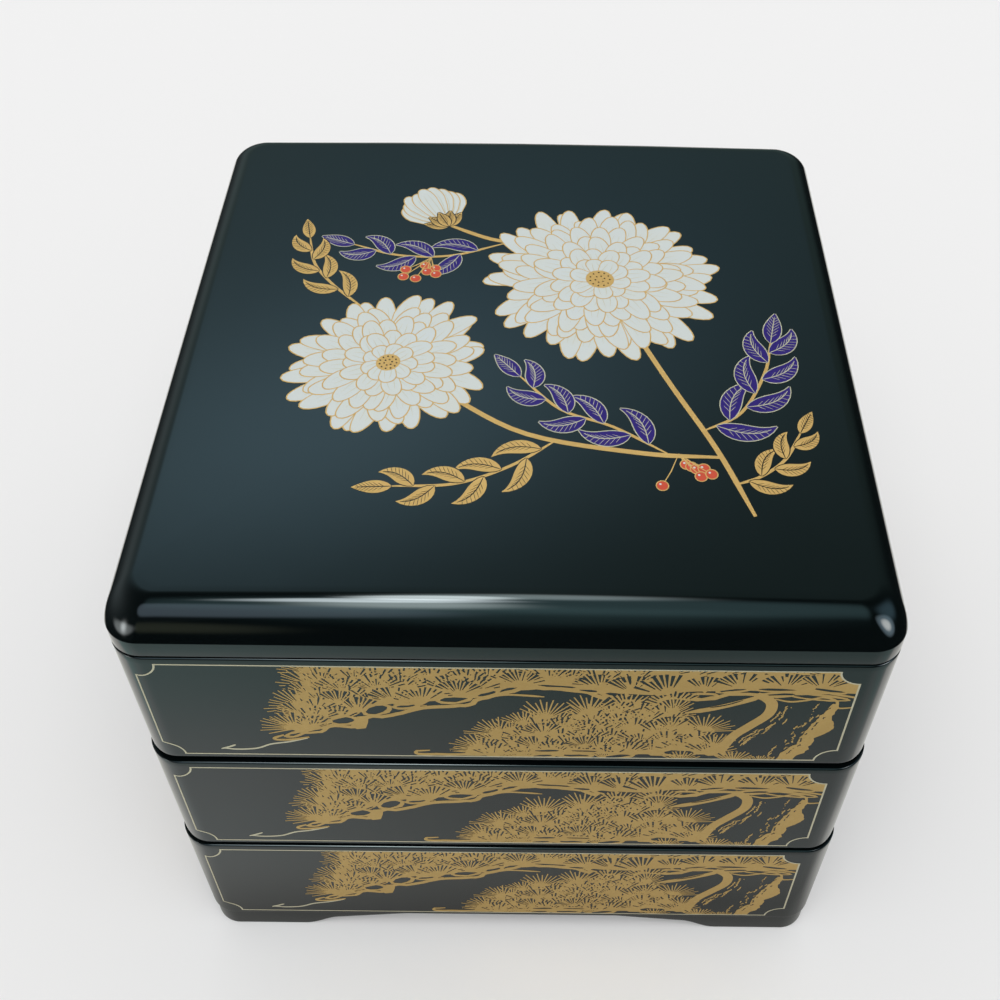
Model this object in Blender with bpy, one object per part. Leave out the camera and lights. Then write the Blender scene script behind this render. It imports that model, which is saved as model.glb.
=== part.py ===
"""Three-tier stacking food box: a domed lid on three square trays, the lowest with four corner feet.

Metres, +Z up. The origin is on the ground under the middle of the box, and the front faces -Y.
Every piece is a stack of rounded-square rings joined by quads, so each profile is a short list of
(half width, corner radius, height) worked out from the sizes below. The lid's upper rings have a
fourth value, the share of the dome's rise that they follow.
"""

import math

import bmesh
import bpy

MM = 0.001

# Plan sizes
SIDE = 196.0 * MM            # outer side at every rim and at the lid's skirt
CORNER_RADIUS = 9.5 * MM     # plan radius of the outer corners
WALL = 2.8 * MM              # wall thickness at a rim
WALL_DRAFT = 0.6 * MM        # how much a tray narrows on each side from rim to foot
EDGE_BREAK = 0.35 * MM       # small chamfer on rims and bottom edges

# Heights
FOOT_HEIGHT = 9.6 * MM       # ground to the bottom edge of the lowest wall
WALL_HEIGHT = 49.2 * MM      # bottom edge of a wall to its rim
SEAM_UNDER_MIDDLE = 0.9 * MM  # shadow line between the bottom and middle tiers
SEAM_UNDER_TOP = 2.2 * MM    # shadow line between the middle and top tiers
SEAM_UNDER_LID = 0.8 * MM    # shadow line between the top tier and the lid

# Stacking step: a neck that rests on the rim below, and a spigot that drops inside it
CONTACT_GAP = 0.3 * MM       # between pieces that rest on each other
NECK_INSET = 1.6 * MM        # how far the neck stands back from the wall below its seam
SPIGOT_CLEARANCE = 0.35 * MM  # between a spigot and the rim that it drops into
SPIGOT_DEPTH = 3.0 * MM      # how far a tray's spigot reaches below the rim
FLOOR = 2.6 * MM             # thickness of a tray's floor
INNER_FILLET = 5.0 * MM      # radius between wall and floor inside a tray

# Lid
SKIRT_HEIGHT = 6.1 * MM      # straight band round the lid's edge
PILLOW_WIDTH = 8.3 * MM      # how far the rounded shoulder reaches in from the edge
PILLOW_HEIGHT = 9.4 * MM     # how far it rises above the skirt at the corners
PILLOW_TOP_RADIUS = 6.0 * MM  # plan corner radius where the shoulder meets the top
PILLOW_FOOT = math.radians(18)  # where the shoulder's ellipse starts, so it leans in at the skirt
DOME = 2.0 * MM              # rise of the top from its corners to its middle
LID_WALL = 2.6 * MM          # thickness of the lid's shell
LID_RING_DEPTH = 4.0 * MM    # how far the lid's locating ring reaches into the top tier
LID_RING_WALL = 2.2 * MM     # thickness of that ring
LID_RING_RADIUS = 5.0 * MM   # plan corner radius inside that ring

# Feet: a band under the wall, cut through by an arch on each side
FOOT_INSET = 0.6 * MM        # how far the feet stand back from the wall above
FOOT_WALL = 5.0 * MM         # thickness of the band that the feet are left from
ARCH_FOOT_START = 67.0 * MM  # distance from the middle of a side to where a foot's sole ends
ARCH_RAMP = 12.0 * MM        # length of the curved end of a foot
ARCH_RAMP_RISE = 5.0 * MM    # how high that curved end climbs
ARCH_TOP_START = 24.0 * MM   # distance from the middle to where the arch reaches the floor

# Smoothness
CORNER_STEPS = 8             # segments in a plan corner
PILLOW_STEPS = 7             # segments in the lid's shoulder
FILLET_STEPS = 3             # segments in a tray's inner fillet
RAMP_STEPS = 6               # segments in the curved end of a foot
SIDE_STEPS = 6               # segments along a domed side
TOP_SHARES = (1 / 12, 0.4, 0.75)  # sizes of the rings across the domed top; the smallest is flat

HALF = SIDE / 2
TOP_HALF = HALF - PILLOW_WIDTH

LACQUER_COLOR = (0.006, 0.012, 0.012, 1.0)
LACQUER_ROUGHNESS = 0.08


def clear_scene():
    for thing in list(bpy.data.objects):
        bpy.data.objects.remove(thing)


def lacquer_material(name):
    """Glossy black-green lacquer."""
    material = bpy.data.materials.new(name)
    material.use_nodes = True
    shader = material.node_tree.nodes["Principled BSDF"]
    shader.inputs["Base Color"].default_value = LACQUER_COLOR
    shader.inputs["Roughness"].default_value = LACQUER_ROUGHNESS
    shader.inputs["Metallic"].default_value = 0.0
    return material


def dome_rise(x, y):
    """Rise of the lid's top above its corners: all of DOME in the middle, half at mid-side."""
    return DOME * (1 - ((x / TOP_HALF) ** 2 + (y / TOP_HALF) ** 2) / 2)


def quarter_points(half, radius, doming):
    """Plan points of one corner of a rounded square and of the side that follows it."""
    centre = half - radius
    points = []
    for step in range(CORNER_STEPS + 1):
        angle = math.pi / 2 * step / CORNER_STEPS
        points.append((centre + radius * math.cos(angle), centre + radius * math.sin(angle)))
    if doming:
        for step in range(1, SIDE_STEPS):
            points.append((centre * (1 - 2 * step / SIDE_STEPS), half))
    return points


def rounded_square(half, radius, z, follow=0.0, doming=False):
    """Points of a square with round corners, anticlockwise seen from above.

    A domed piece gets extra points along its sides, and each point rises by a share of the dome.
    """
    points = []
    for corner in range(4):
        turn = corner * math.pi / 2
        for along, out in quarter_points(half, radius, doming):
            x = along * math.cos(turn) - out * math.sin(turn)
            y = along * math.sin(turn) + out * math.cos(turn)
            points.append((x, y, z + follow * dome_rise(x, y)))
    return points


def offset_radius(half):
    """Corner radius of a ring that runs parallel to the outer side at the given half width."""
    return CORNER_RADIUS - (HALF - half)


def solid_from_rings(name, rings, doming=False):
    """A closed solid through (half, radius, z) rings, flat across the first and the last ring."""
    mesh = bmesh.new()
    loops = [
        [mesh.verts.new(point) for point in rounded_square(*ring, doming=doming)] for ring in rings
    ]
    count = len(loops[0])
    for lower, upper in zip(loops, loops[1:]):
        for i in range(count):
            j = (i + 1) % count
            mesh.faces.new((lower[i], lower[j], upper[j], upper[i]))
    mesh.faces.new(list(reversed(loops[0])))
    mesh.faces.new(loops[-1])
    return finish_mesh(name, mesh)


def ring_solid(name, rings):
    """A closed frame through (half, radius, z) rings that end where they began."""
    mesh = bmesh.new()
    loops = [[mesh.verts.new(point) for point in rounded_square(*ring)] for ring in rings]
    count = len(loops[0])
    for lower, upper in zip(loops, loops[1:] + loops[:1]):
        for i in range(count):
            j = (i + 1) % count
            mesh.faces.new((lower[i], lower[j], upper[j], upper[i]))
    return finish_mesh(name, mesh)


def prism(name, outline, half_length):
    """A solid along Y with the given (x, z) outline, listed anticlockwise seen from -Y."""
    mesh = bmesh.new()
    front = [mesh.verts.new((x, -half_length, z)) for x, z in outline]
    back = [mesh.verts.new((x, half_length, z)) for x, z in outline]
    count = len(outline)
    for i in range(count):
        j = (i + 1) % count
        mesh.faces.new((front[j], front[i], back[i], back[j]))
    mesh.faces.new(front)
    mesh.faces.new(list(reversed(back)))
    return finish_mesh(name, mesh)


def finish_mesh(name, mesh):
    """Turns a bmesh into a named object with its faces pointing out and its curves smooth."""
    bmesh.ops.recalc_face_normals(mesh, faces=mesh.faces)
    data = bpy.data.meshes.new(name)
    mesh.to_mesh(data)
    mesh.free()
    data.shade_smooth()
    data.set_sharp_from_angle(angle=math.radians(40))
    thing = bpy.data.objects.new(name, data)
    bpy.context.scene.collection.objects.link(thing)
    return thing


def outer_wall(bottom):
    """Rings up the outside of a tray's wall, from its bottom edge to the top of its rim."""
    foot = HALF - WALL_DRAFT
    rim = bottom + WALL_HEIGHT
    return [
        (foot - EDGE_BREAK, offset_radius(foot - EDGE_BREAK), bottom),
        (foot, offset_radius(foot), bottom + EDGE_BREAK),
        (HALF, CORNER_RADIUS, rim - EDGE_BREAK),
        (HALF - EDGE_BREAK, offset_radius(HALF - EDGE_BREAK), rim),
    ]


def inside(rim, floor_top):
    """Rings down the inside of a tray, from its rim to the edge of its flat floor."""
    mouth = HALF - WALL
    low = mouth - WALL_DRAFT
    rings = [
        (mouth, offset_radius(mouth), rim),
        (low, offset_radius(low), floor_top + INNER_FILLET),
    ]
    for step in range(1, FILLET_STEPS + 1):
        angle = math.pi / 2 * step / FILLET_STEPS
        half = low - INNER_FILLET * (1 - math.cos(angle))
        z = floor_top + INNER_FILLET * (1 - math.sin(angle))
        rings.append((half, offset_radius(low), z))
    return rings


def stacking_step(rim_below, wall_bottom):
    """Rings of the spigot and neck under a tray, from the spigot's underside to the wall's edge."""
    spigot = HALF - WALL - SPIGOT_CLEARANCE
    neck = HALF - WALL_DRAFT - NECK_INSET
    underside = rim_below - SPIGOT_DEPTH
    shoulder = rim_below + CONTACT_GAP
    return [
        (spigot - EDGE_BREAK, offset_radius(spigot - EDGE_BREAK), underside),
        (spigot, offset_radius(spigot), underside + EDGE_BREAK),
        (spigot, offset_radius(spigot), shoulder),
        (neck, offset_radius(neck), shoulder),
        (neck, offset_radius(neck), wall_bottom),
    ]


def stacked_tier(name, rim_below, seam):
    """A tray whose stepped underside sits in the rim below it."""
    bottom = rim_below + seam
    underside = rim_below - SPIGOT_DEPTH
    rings = stacking_step(rim_below, bottom)
    rings += outer_wall(bottom)
    rings += inside(bottom + WALL_HEIGHT, underside + FLOOR)
    return solid_from_rings(name, rings)


def foot_profile():
    """The (x, z) outline of the opening under one side, between two feet."""
    half = [(ARCH_FOOT_START, -FOOT_HEIGHT), (ARCH_FOOT_START, 0.0)]
    for step in range(1, RAMP_STEPS + 1):
        share = step / RAMP_STEPS
        rise = ARCH_RAMP_RISE * (1 - math.cos(math.pi * share)) / 2
        half.append((ARCH_FOOT_START - ARCH_RAMP * share, rise))
    half.append((ARCH_TOP_START, FOOT_HEIGHT))
    return [(-x, z) for x, z in half] + [(x, z) for x, z in reversed(half)]


def feet():
    """The band that leaves four corner feet once the two arches are cut through it."""
    outer = HALF - WALL_DRAFT - FOOT_INSET
    inner = outer - FOOT_WALL
    top = FOOT_HEIGHT + FLOOR / 2
    band = ring_solid("foot_band", [
        (inner, offset_radius(outer), 0.0),
        (outer - EDGE_BREAK, offset_radius(outer - EDGE_BREAK), 0.0),
        (outer, offset_radius(outer), EDGE_BREAK),
        (outer, offset_radius(outer), top),
        (inner, offset_radius(outer), top),
    ])
    for turn in range(2):
        arch = prism(f"arch_{turn}", foot_profile(), SIDE)
        arch.rotation_euler.z = turn * math.pi / 2
        add_boolean(band, arch, "DIFFERENCE")
    return band


def add_boolean(thing, other, operation):
    """Cuts or joins another object, which is then only a guide."""
    boolean = thing.modifiers.new(f"{operation.lower()} {other.name}", "BOOLEAN")
    boolean.operation = operation
    boolean.solver = "EXACT"
    boolean.object = other
    other.hide_render = True
    other.display_type = "WIRE"


def bottom_tier(name):
    """The lowest tray: a flat underside with the four feet moulded to it."""
    rings = outer_wall(FOOT_HEIGHT)
    rings += inside(FOOT_HEIGHT + WALL_HEIGHT, FOOT_HEIGHT + FLOOR)
    tray = solid_from_rings(name, rings)
    add_boolean(tray, feet(), "UNION")
    return tray


def shoulder_rings(half, width, height, base, radius, top_radius, foot):
    """Rings up a quarter-ellipse shoulder, which starts at the foot angle and follows the dome."""
    rings = []
    for step in range(PILLOW_STEPS + 1):
        angle = foot + (math.pi / 2 - foot) * step / PILLOW_STEPS
        inward = 1 - math.cos(angle) / math.cos(foot)
        rise = (math.sin(angle) - math.sin(foot)) / (1 - math.sin(foot))
        ring_radius = radius + (top_radius - radius) * inward
        rings.append((half - width * inward, ring_radius, base + height * rise, rise))
    return rings


def lid(name, rim_below):
    """A domed shell with a straight skirt, resting on the top tray by its neck."""
    ring = HALF - WALL - SPIGOT_CLEARANCE
    ring_inner = ring - LID_RING_WALL
    neck = HALF - NECK_INSET
    shoulder = rim_below + CONTACT_GAP
    skirt = rim_below + SEAM_UNDER_LID
    skirt_top = skirt + SKIRT_HEIGHT
    top = skirt_top + PILLOW_HEIGHT
    ceiling = top - LID_WALL
    inner_base = skirt_top - LID_WALL / 2
    inner_width = PILLOW_WIDTH - (HALF - ring_inner - LID_WALL)
    inner_top_radius = PILLOW_TOP_RADIUS - LID_WALL

    rings = []
    for share in TOP_SHARES:
        rings.append((TOP_HALF * share, inner_top_radius * share, ceiling, 1.0))
    rings[0] = (*rings[0][:2], ceiling + DOME)
    rings += reversed(shoulder_rings(
        ring_inner, inner_width, ceiling - inner_base, inner_base, LID_RING_RADIUS, inner_top_radius, 0.0
    ))
    rings += [
        (ring_inner, LID_RING_RADIUS, rim_below - LID_RING_DEPTH),
        (ring, offset_radius(ring), rim_below - LID_RING_DEPTH),
        (ring, offset_radius(ring), shoulder),
        (neck, offset_radius(neck), shoulder),
        (neck, offset_radius(neck), skirt),
        (HALF - EDGE_BREAK, offset_radius(HALF - EDGE_BREAK), skirt),
        (HALF, CORNER_RADIUS, skirt + EDGE_BREAK),
    ]
    rings += shoulder_rings(
        HALF, PILLOW_WIDTH, PILLOW_HEIGHT, skirt_top, CORNER_RADIUS, PILLOW_TOP_RADIUS, PILLOW_FOOT
    )
    for share in reversed(TOP_SHARES):
        rings.append((TOP_HALF * share, PILLOW_TOP_RADIUS * share, top, 1.0))
    rings[-1] = (*rings[-1][:2], top + DOME)
    return solid_from_rings(name, rings, doming=True)


def build():
    clear_scene()
    rim_1 = FOOT_HEIGHT + WALL_HEIGHT
    rim_2 = rim_1 + SEAM_UNDER_MIDDLE + WALL_HEIGHT
    rim_3 = rim_2 + SEAM_UNDER_TOP + WALL_HEIGHT
    pieces = [
        bottom_tier("bottom_tier"),
        stacked_tier("middle_tier", rim_1, SEAM_UNDER_MIDDLE),
        stacked_tier("top_tier", rim_2, SEAM_UNDER_TOP),
        lid("lid", rim_3),
    ]
    for piece in pieces:
        piece.data.materials.append(lacquer_material(f"{piece.name}_lacquer"))


build()
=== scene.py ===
"""Looks for a three-tier food box: gloss lacquer, gold pine panels and a flower-printed lid.

Metres, +Z up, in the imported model's frame. The box stands on z = 0 and its front faces -Y.
The lacquered pieces are lofts of rounded squares, finer than the CAD's. Each printed picture is
drawn flat in millimetres as a pile of inked shapes, cut into one layer that nothing overlaps, and
laid on the lacquer.
"""

import random
from math import asin, atan2, copysign, cos, degrees, pi, radians, sin, sqrt

import bmesh
import bpy
from mathutils import Matrix, Vector
from mathutils.geometry import delaunay_2d_cdt

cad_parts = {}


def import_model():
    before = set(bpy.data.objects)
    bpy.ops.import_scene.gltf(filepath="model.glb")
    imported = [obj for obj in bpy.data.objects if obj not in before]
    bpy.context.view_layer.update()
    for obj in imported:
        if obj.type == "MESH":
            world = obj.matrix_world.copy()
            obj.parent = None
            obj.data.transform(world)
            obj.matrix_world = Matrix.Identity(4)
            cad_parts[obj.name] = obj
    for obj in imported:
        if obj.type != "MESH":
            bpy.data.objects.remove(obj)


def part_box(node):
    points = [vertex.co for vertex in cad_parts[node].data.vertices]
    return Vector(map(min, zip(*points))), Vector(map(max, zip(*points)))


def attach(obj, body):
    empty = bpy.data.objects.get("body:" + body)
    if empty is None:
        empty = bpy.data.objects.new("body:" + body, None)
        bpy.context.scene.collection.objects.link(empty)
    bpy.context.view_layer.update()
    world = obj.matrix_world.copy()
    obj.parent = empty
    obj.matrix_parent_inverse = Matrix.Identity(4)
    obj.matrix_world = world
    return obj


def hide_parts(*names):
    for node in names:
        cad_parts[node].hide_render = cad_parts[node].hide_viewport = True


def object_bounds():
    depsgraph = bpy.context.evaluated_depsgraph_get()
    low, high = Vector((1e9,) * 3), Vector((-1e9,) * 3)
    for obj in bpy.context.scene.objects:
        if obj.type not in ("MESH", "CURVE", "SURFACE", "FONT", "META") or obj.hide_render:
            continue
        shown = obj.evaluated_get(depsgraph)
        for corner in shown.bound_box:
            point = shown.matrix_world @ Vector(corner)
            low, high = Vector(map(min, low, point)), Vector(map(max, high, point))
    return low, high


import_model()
CAD_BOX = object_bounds()

MM = 0.001
ROOT = "root"
TIERS = ("bottom_tier", "middle_tier", "top_tier")
LACQUER_SLOT = "black_green_lacquer"

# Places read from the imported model
HALF = CAD_BOX[1].x
RIMS = {tier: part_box(tier)[1].z for tier in TIERS}
UNDERSIDES = {tier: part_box(tier)[0].z for tier in TIERS}
LID_LOW, LID_HIGH = (corner.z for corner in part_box("lid"))

# Sizes shared with the CAD
CORNER_RADIUS = 9.5 * MM
WALL = 2.8 * MM
WALL_DRAFT = 0.6 * MM
WALL_HEIGHT = 49.2 * MM
FLOOR = 2.6 * MM
NECK_DEPTH = 3.0 * MM  # how far a tray reaches into the one below
FOOT_HEIGHT = 9.6 * MM
INNER_FILLET = 5.0 * MM
NECK_INSET = 1.6 * MM
CONTACT_GAP = 0.3 * MM
SPIGOT = HALF - WALL - 0.35 * MM
SKIRT_HEIGHT = 6.1 * MM
SEAM_UNDER_LID = 0.8 * MM
PILLOW_WIDTH = 8.3 * MM
PILLOW_TOP_RADIUS = 6.0 * MM
PILLOW_FOOT = radians(18)  # where the shoulder's ellipse starts, to lean in at the skirt
DOME = 2.0 * MM
TOP_HALF = HALF - PILLOW_WIDTH
LID_WALL = 2.6 * MM
LID_RING_WALL = 2.2 * MM
LID_RING_RADIUS = 5.0 * MM
LID_RING_DEPTH = 4.0 * MM
FOOT_INSET = 0.6 * MM
FOOT_WALL = 5.0 * MM
ARCH_FOOT_START = 67.0 * MM
ARCH_RAMP = 12.0 * MM
ARCH_RAMP_RISE = 5.0 * MM
ARCH_TOP_START = 24.0 * MM

# Finer finish than the CAD
EDGE_RADIUS = 0.45 * MM  # roll on every rim and bottom edge
CORNER_STEPS = 20
EDGE_STEPS = 5
PILLOW_STEPS = 40
SKIRT_ROLL = 78  # degrees of the skirt's top edge that the shoulder takes over
TOP_SHARES = (0.98, 0.94, 0.86, 0.74, 0.6, 0.44, 0.28, 0.12)  # rings on the lid's top
SIDE_STOPS = (0.004, 0.02, 0.25, 0.5, 0.75, 0.98, 0.996)  # points along a side
FILLET_STEPS = 12
CEILING_STEPS = 16
FOOT_STEPS = 96
NEAR_EDGE, OFF_EDGE = 1.2 * MM, 2.5 * MM  # from a wall's edges to its extra rings
SHARP_ANGLE = radians(35)

# Prints. Sizes on the picture itself are in millimetres.
PRINT_RISE = 0.04 * MM  # how far a print stands off the lacquer
FRAME_DROP = 2.6 * MM  # from a rim down to its frame's top line
FRAME_SHIFT = -2.0  # from the middle of a side towards its right
FRAME_WIDTH = 179.0
FRAME_HEIGHT = 44.6
FRAME_NOTCH = 5.5  # radius of the scooped corners
FRAME_LINE = 0.5
FRAME_ARC_STEPS = 8
CUT_TOLERANCE = 1e-5
FLAT_ANGLE = radians(0.5)  # bends less than this are flattened out of a print's mesh
SIDE_NAMES = ("front", "right", "back", "left")
BARE, GOLD, BRIGHT_GOLD, PALE_GOLD = "bare", "gold", "bright_gold", "pale_gold"
PEARL, VIOLET, RED = "pearl", "violet", "red"
FRONT_SEED, SIDE_SEED, FLOWER_SEED = 7, 23, 5

# Pine
NEEDLE = 8.5  # length of most pine needles
NEEDLE_WIDTH = 0.5
NEEDLE_TIP = 0.36  # width of a needle's tip
NEEDLE_STEP = 10.0  # degrees between needles
NEEDLE_SWAY = (-2, 2)  # degrees that a needle leans
NEEDLE_LENGTHS = (0.84, 1.06)  # shares of a fan's length
FEWEST_NEEDLES = 5
FAN_SPREAD = 150  # degrees
FAN_ROOT = 0.5  # how far a fan reaches back behind its root
CLOSED, CLOSED_RANGE = 0.4, (0.85, 1.15)  # share of a fan that is solid, and how it varies
SLITS = 0.5  # for each gap between needles
SLIT_LENGTHS = (3, 12)  # times the widest half width
SLIT_LIMITS = (0.85, 0.97)  # latest start and end, as shares of a fan's length
NARROWEST, SPECK, GAP = 0.1, 0.26, 0.5  # half widths of slits: least, and most if closed or open
OPEN_CLOSED, OPEN_SLITS = 0.3, 2.2  # of an open fan
ROW_CLOSED, ROW_SLITS = (0.25, 0.5), (0.9, 2.0)
ROW_SPACING = 7.0  # between the fans of a row
ROW_SHIFT, ROW_LIFT = (-1.5, 1.5), (-1.2, 1.2)  # of a fan from its place in a row
ROW_LEAN = (-25, 25)  # degrees
WAVE, GROUND_WAVE, BARK_WAVE = 0.3, 0.35, (-0.25, 0.25)
HOLLOW_RIM = (1.3, 1.0)  # gold round a hollow, along it and across it
BARK_STEPS = (2, 4, 5, 8)  # lengths of a line of bark, in steps of its edge
BARK_WIDTHS = (0.3, 0.5)

# Flowers, with angles in degrees
PETAL_LINE = 0.28
PETAL_FOOT, PETAL_WIDENING = 0.35, 1.1  # share of the width at the foot, and how fast it grows
PETAL_SHOULDER = 0.7  # share of the length where a petal's round tip starts
PETAL_STOPS = (0.0, 0.2, 0.45, 0.7, 0.8, 0.88, 0.94, 0.98, 1.0)
PETAL_VEINS = 2
VEIN_LINE = 0.16
VEIN_STOPS = (0.12, 0.3, 0.48, 0.66, 0.84)  # shares of a petal's length
LEAF_LINE = 0.3
LEAF_STEPS = 10
LEAF_VEIN_TURN, LEAF_TURN, LEAF_CURL = 38, 50, 24
STEM_LINE = 0.9
EYE, EYE_HIGH = 0.12, 0.11  # half sizes of a flower's middle, as shares of its radius
EYE_DOT = 0.28
BERRIES, BERRY, BERRY_FILL, BERRY_GLINT, BERRY_SWAY = 7, 1.75, 1.45, 0.35, (-42, 42)
BUD_PETALS, BUD_SPREAD, BUD_LENGTHS, BUD_CUP = 9, 105, (0.94, 1.03), (-55, 55, -28, 28, 0)
BLOOM_SWAY, BLOOM_CURL, BLOOM_LENGTHS = (-3, 3), (-9, 9), (0.93, 1.04)

# Inks: slot, colour, the tint it drifts towards, roughness and share of metal
INKS = {
    GOLD: ("gold_print", (0.54, 0.36, 0.122), (0.46, 0.295, 0.094), 0.45, 0.35),
    BRIGHT_GOLD: ("gold_print", (0.68, 0.44, 0.15), (0.58, 0.36, 0.12), 0.45, 0.25),
    PALE_GOLD: ("gold_print", (0.62, 0.58, 0.42), (0.52, 0.48, 0.34), 0.45, 0.35),
    PEARL: ("pearl_print", (0.58, 0.64, 0.66), (0.60, 0.62, 0.56), 0.40, 0.0),
    VIOLET: ("violet_print", (0.026, 0.010, 0.17), (0.020, 0.008, 0.13), 0.45, 0.0),
    RED: ("red_print", (0.62, 0.09, 0.045), (0.5, 0.06, 0.03), 0.40, 0.0),
}
INK_GLOSS = 0.3
GRAIN_ROUGHNESS = 0.08  # either way
GRAIN_HEIGHT = 0.03 * MM

LACQUER_COLOR = (0.0015, 0.0028, 0.0030)
LACQUER_TONES = ((0.0011, 0.0022, 0.0024), (0.0019, 0.0034, 0.0036))
LACQUER_ROUGHNESS = 0.04
LACQUER_POLISH = (0.025, 0.06)  # range of roughness
LACQUER_WAVE_HEIGHT = 0.02 * MM

# Noises: how many per metre, and detail
POLISH_NOISE = (60.0, 4.0)
TONE_NOISE = (25.0, 3.0)
WAVE_NOISE = (45.0, 1.0)
TINT_NOISE = (90.0, 3.0)
GRAIN_NOISE = (1800.0, 2.0)
NOISE_RANGE = (0.3, 0.7)  # most of a noise lies between these

# Glows that the lacquer mirrors: turn, lift from the back over the top, half width and half height
# in degrees, how crisp the edge is, and the colour. Up to a lift of 90 the turn is about the
# upright, towards +X. Beyond that it tips the whole arc over the box towards +X.
LOBES = (
    (-17, 49, 15, 7, 1.0, (0.48, 0.80, 1.00)),
    (-26, 44, 24, 12, 1.0, (0.14, 0.20, 0.24)),
    (-2, 41, 16, 10, 1.0, (0.05, 0.14, 0.24)),
    (0, 30, 50, 36, 3.0, (0.15, 0.25, 0.24)),
    (-5, 91, 4, 12, 3.0, (10.5, 11.8, 12.0)),
    (-8, 105, 6.5, 9, 2.5, (10.0, 11.3, 11.8)),
    (-7, 121, 5, 14, 1.8, (5.0, 5.8, 5.8)),
    (0, 81, 7, 14, 1.8, (3.4, 4.2, 4.3)),
    (2, 116, 21, 33, 3.0, (0.44, 0.80, 0.86)),
    (0, 150, 12, 26, 2.0, (0.20, 0.38, 0.40)),
    (-25, 138, 11, 22, 4.0, (0.92, 1.22, 1.48)),
    (-103, 163, 11, 5, 2.0, (0.30, 0.33, 0.22)),
    (58, 98, 22, 17, 2.0, (0.45, 0.8, 1.0)),
    (-98, 131, 10, 7, 1.2, (6.0, 6.4, 6.4)),
    (-102, 130, 11, 25, 3.0, (2.2, 2.4, 2.4)),
    (-72, 16, 38, 24, 1.0, (0.44, 0.53, 0.55)),
)
DIM_GLOW = (0.012, 0.015, 0.016)  # between the glows
SOFT_LIGHT_COLOR = (0.6, 0.6, 0.6)
BACKDROP_COLOR = (0.885, 0.885, 0.885)

# The floor. Its mirrored tones are painted light and shade that only reflections see. They change
# between two distances in metres: beyond the box's outline, along +X for the right, and along +Y
# for beside. Painted shades have two levels as well.
FLOOR_HALF_SIDE = 6.0
FLOOR_ROUGHNESS = 0.9
FLOOR_COLOR = (0.85, 0.85, 0.85)
BLACK = (0.0, 0.0, 0.0)
# Painted reflection tones of the floor, seen only by glossy rays
MIRRORED_FLOOR_COLOR = (0.66, 0.71, 0.70)
MIRRORED_FAR_COLOR = (0.475, 0.65, 0.63)
MIRRORED_SIDE_COLOR = (0.86, 0.86, 0.82)
# Painted contact shadow under the box, and painted shade towards the right of the front
PAINTED_CONTACT_SHADOW = (-0.005, 0.025, 0.45, 1.0)
PAINTED_SHADE_RIGHT = (-0.14, 0.06, 1.0, 0.66)
BESIDE_START = (-0.13, -0.09)
AWAY_START = (0.045, 0.095)
FLOOR_END = (0.13, 0.19)


# --- Lofts ---


def parallel_radius(half):
    """Corner radius of a ring that runs parallel to the outer side."""
    return CORNER_RADIUS - (HALF - half)


def quarter_turn(steps):
    """Angles from zero to a right angle."""
    return [pi / 2 * step / steps for step in range(steps + 1)]


def corner_arc(reach, radius):
    """Points round a corner, whose centre is as far out along X as along Y."""
    angles = quarter_turn(CORNER_STEPS)
    return [Vector((reach + radius * cos(angle), reach + radius * sin(angle))) for angle in angles]


def all_round(points):
    """One corner and side, repeated round the box, anticlockwise seen from above."""
    turns = [Matrix.Rotation(pi / 2 * corner, 2) for corner in range(4)]
    return [turn @ point for turn in turns for point in points]


def plan(half, radius):
    """Plan points of a square with round corners."""
    reach = half - radius
    side = [Vector((reach - 2 * reach * stop, half)) for stop in SIDE_STOPS]
    return all_round(corner_arc(reach, radius) + side)


def bend(half, z, radius, start, end):
    """Profile points round a bend about (half, z), between two angles in degrees."""
    points = []
    for step in range(EDGE_STEPS + 1):
        angle = radians(start + (end - start) * step / EDGE_STEPS)
        points.append((half + radius * cos(angle), z + radius * sin(angle)))
    return points


def skin(mesh, loops):
    """Faces between each two loops of corners in turn."""
    count = len(loops[0])
    for lower, upper in zip(loops, loops[1:]):
        for i in range(count):
            j = (i + 1) % count
            mesh.faces.new((lower[i], lower[j], upper[j], upper[i]))


def loft(name, rings):
    """A closed mesh through rings of (half, radius, z, share of the dome's rise to follow)."""
    mesh = bmesh.new()
    loops = []
    for half, radius, z, follow in rings:
        points = [(x, y, z + follow * dome_rise(x, y)) for x, y in plan(half, radius)]
        loops.append([mesh.verts.new(point) for point in points])
    skin(mesh, loops)
    mesh.faces.new(list(reversed(loops[0])))
    mesh.faces.new(loops[-1])
    return finish_mesh(name, mesh)


def add_to_scene(name, data):
    thing = bpy.data.objects.new(name, data)
    bpy.context.scene.collection.objects.link(thing)
    return thing


def add_mesh(name, mesh):
    """A new object from a bmesh, which is freed."""
    data = bpy.data.meshes.new(name)
    mesh.to_mesh(data)
    mesh.free()
    return add_to_scene(name, data)


def shade(data):
    """Smooth shading with sharp edges."""
    data.shade_smooth()
    data.set_sharp_from_angle(angle=SHARP_ANGLE)


def finish_mesh(name, mesh):
    bmesh.ops.recalc_face_normals(mesh, faces=mesh.faces)
    thing = add_mesh(name, mesh)
    shade(thing.data)
    return thing


def parallel(profile):
    """Rings that follow a profile of (half, z) with corners parallel to the outer side."""
    return [(half, parallel_radius(half), z, 0.0) for half, z in profile]


# --- Lacquered pieces ---


def wall_half(z, rim):
    """Half width of a drafted wall at a height."""
    return HALF - WALL_DRAFT * (rim - z) / WALL_HEIGHT


def outer_wall(rim):
    """Profile up the outside of a tray, from under its wall over its rim to the mouth."""
    bottom = rim - WALL_HEIGHT
    roll = EDGE_RADIUS
    profile = bend(HALF - WALL_DRAFT - roll, bottom + roll, roll, -90, 0)
    heights = (bottom + NEAR_EDGE, bottom + OFF_EDGE, rim - OFF_EDGE)
    profile += [(wall_half(z, rim), z) for z in heights]
    profile += bend(HALF - roll, rim - roll, roll, 0, 90)
    return profile + bend(HALF - WALL + roll, rim - roll, roll, 90, 180)


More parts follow.
